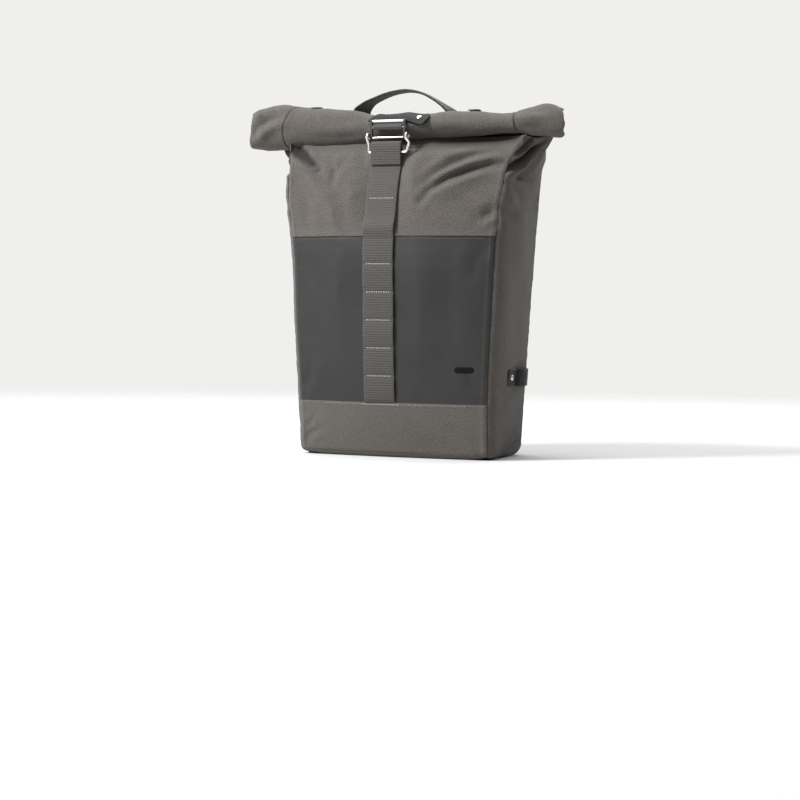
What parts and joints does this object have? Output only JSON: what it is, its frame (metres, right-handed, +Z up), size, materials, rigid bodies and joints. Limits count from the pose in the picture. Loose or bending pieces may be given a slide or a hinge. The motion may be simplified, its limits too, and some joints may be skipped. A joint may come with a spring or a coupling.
{
  "type": "pannier bag",
  "caption": "Roll-top bicycle pannier bag with a centre strap buckle, grab handle, and sliding rack hooks with latches and a swivelling lower anchor on the back.",
  "frame": {"origin": "middle of the flat base, on the floor", "axes": "+Z up, -Y the outer face with the centre strap, +Y the back that hangs on the rack, X along the bicycle"},
  "size_m": [0.421, 0.2002, 0.4661],
  "materials": {
    "grey_canvas": "woven, matte",
    "lining_fabric": "woven, matte",
    "coated_fabric": "coated, satin",
    "tab_fabric": "coated, matte",
    "webbing": "ribbed webbing",
    "stiffener_board": "matte",
    "bright_wire": "polished",
    "black_metal": "satin",
    "rail_aluminium": "anodised",
    "bright_steel": "nickel plated",
    "dark_steel": "blackened",
    "insert_plastic": "matte",
    "hook_plastic": "textured",
    "badge_film": "reflective film"
  },
  "bodies": {
    "bag": {"back_board": "stiffener_board", "back_collar": "grey_canvas", "back_panel": "lining_fabric", "base_board": "stiffener_board", "base_panel": "lining_fabric", "closure_strap_anchor": "webbing", "front_badge": "badge_film", "front_base_band": "grey_canvas", "front_coated_panel": "coated_fabric", "front_strap_lower": "webbing", "front_upper_panel": "grey_canvas", "handle_anchor_left": "webbing", "handle_anchor_right": "webbing", "light_loop_left": "tab_fabric", "light_loop_right": "tab_fabric", "light_loop_rivets_left": "bright_steel", "light_loop_rivets_right": "bright_steel", "lower_backing_strip": "rail_aluminium", "lower_rail": "rail_aluminium", "lower_rail_end_caps": "hook_plastic", "lower_rail_nuts": "bright_steel", "lower_rail_screws": "dark_steel", "side_gusset_left": "grey_canvas", "side_gusset_right": "grey_canvas", "upper_backing_strip": "rail_aluminium", "upper_rail": "rail_aluminium", "upper_rail_end_caps": "hook_plastic", "upper_rail_nuts": "bright_steel", "upper_rail_screws": "dark_steel"},
    "roll_top": {"collar_roll": "grey_canvas", "collar_stiffener": "stiffener_board", "collar_tab_left": "tab_fabric", "collar_tab_right": "tab_fabric", "closure_strap": "webbing", "slider_frame": "black_metal", "slider_bars": "bright_wire"},
    "pull_tab": {"strap_pull_tab": "tab_fabric", "pull_tab_rivet": "bright_steel"},
    "front_strap": {"front_strap_upper": "webbing"},
    "wire_hook": {"wire_hook": "bright_wire"},
    "handle": {"grab_handle": "webbing"},
    "anchor_carrier": {"anchor_carrier": "hook_plastic", "anchor_set_screw": "dark_steel", "anchor_pivot_screw": "dark_steel"},
    "anchor_arm": {"anchor_arm": "hook_plastic"},
    "hook_left": {"hook_left": "hook_plastic", "hook_insert_left": "insert_plastic", "latch_pin_left": "bright_steel", "latch_spring_left": "bright_steel"},
    "latch_left": {"latch_left": "hook_plastic"},
    "knob_left": {"hook_clamp_screw_left": "hook_plastic"},
    "hook_right": {"hook_right": "hook_plastic", "hook_insert_right": "insert_plastic", "latch_pin_right": "bright_steel", "latch_spring_right": "bright_steel"},
    "latch_right": {"latch_right": "hook_plastic"},
    "knob_right": {"hook_clamp_screw_right": "hook_plastic"}
  },
  "joints": [
    {"name": "roll_top_swing", "type": "hinge", "parent": "bag", "child": "roll_top", "pos_m": [-0.006, -0.009, 0.402], "axis": [-1, 0, 0], "range_deg": [0, 82]},
    {"name": "front_strap_release", "type": "hinge", "parent": "bag", "child": "front_strap", "pos_m": [-0.012, -0.0905, 0.272], "axis": [1, 0, 0], "range_deg": [0, 150]},
    {"name": "wire_hook_swing", "type": "hinge", "parent": "front_strap", "child": "wire_hook", "pos_m": [-0.012, -0.0645, 0.373], "axis": [1, 0, 0], "range_deg": [0, 60]},
    {"name": "pull_tab_lift", "type": "hinge", "parent": "roll_top", "child": "pull_tab", "pos_m": [0, -0.0557, 0.41025], "axis": [1, 0, 0], "range_deg": [0, 60]},
    {"name": "handle_fold", "type": "hinge", "parent": "bag", "child": "handle", "pos_m": [-0.024, 0.0705, 0.379], "axis": [-1, 0, 0], "range_deg": [0, 90]},
    {"name": "anchor_slide", "type": "slide", "parent": "bag", "child": "anchor_carrier", "axis": [1, 0, 0], "range_m": [-0.04, 0.04]},
    {"name": "anchor_swivel", "type": "hinge", "parent": "anchor_carrier", "child": "anchor_arm", "pos_m": [0, 0.088, 0.096], "axis": [0, 1, 0], "range_deg": [-90, 90]},
    {"name": "hook_slide_left", "type": "slide", "parent": "bag", "child": "hook_left", "axis": [1, 0, 0], "range_m": [-0.02, 0.02]},
    {"name": "latch_open_left", "type": "hinge", "parent": "hook_left", "child": "latch_left", "pos_m": [-0.075, 0.0825, 0.301], "axis": [1, 0, 0], "range_deg": [0, 35], "stiffness_Nm_per_rad": 0.03, "springref_deg": -20.05},
    {"name": "knob_turn_left", "type": "hinge", "parent": "hook_left", "child": "knob_left", "pos_m": [-0.075, 0.086, 0.341], "axis": [0, 1, 0], "range_deg": [-180, 0]},
    {"name": "hook_slide_right", "type": "slide", "parent": "bag", "child": "hook_right", "axis": [1, 0, 0], "range_m": [-0.02, 0.02]},
    {"name": "latch_open_right", "type": "hinge", "parent": "hook_right", "child": "latch_right", "pos_m": [0.075, 0.0825, 0.301], "axis": [1, 0, 0], "range_deg": [0, 35], "stiffness_Nm_per_rad": 0.03, "springref_deg": -20.05},
    {"name": "knob_turn_right", "type": "hinge", "parent": "hook_right", "child": "knob_right", "pos_m": [0.075, 0.086, 0.341], "axis": [0, 1, 0], "range_deg": [-180, 0]}
  ],
  "couplings": [
    {"joint": "front_strap_release", "follows": "roll_top_swing", "ratio": 1.8182}
  ]
}
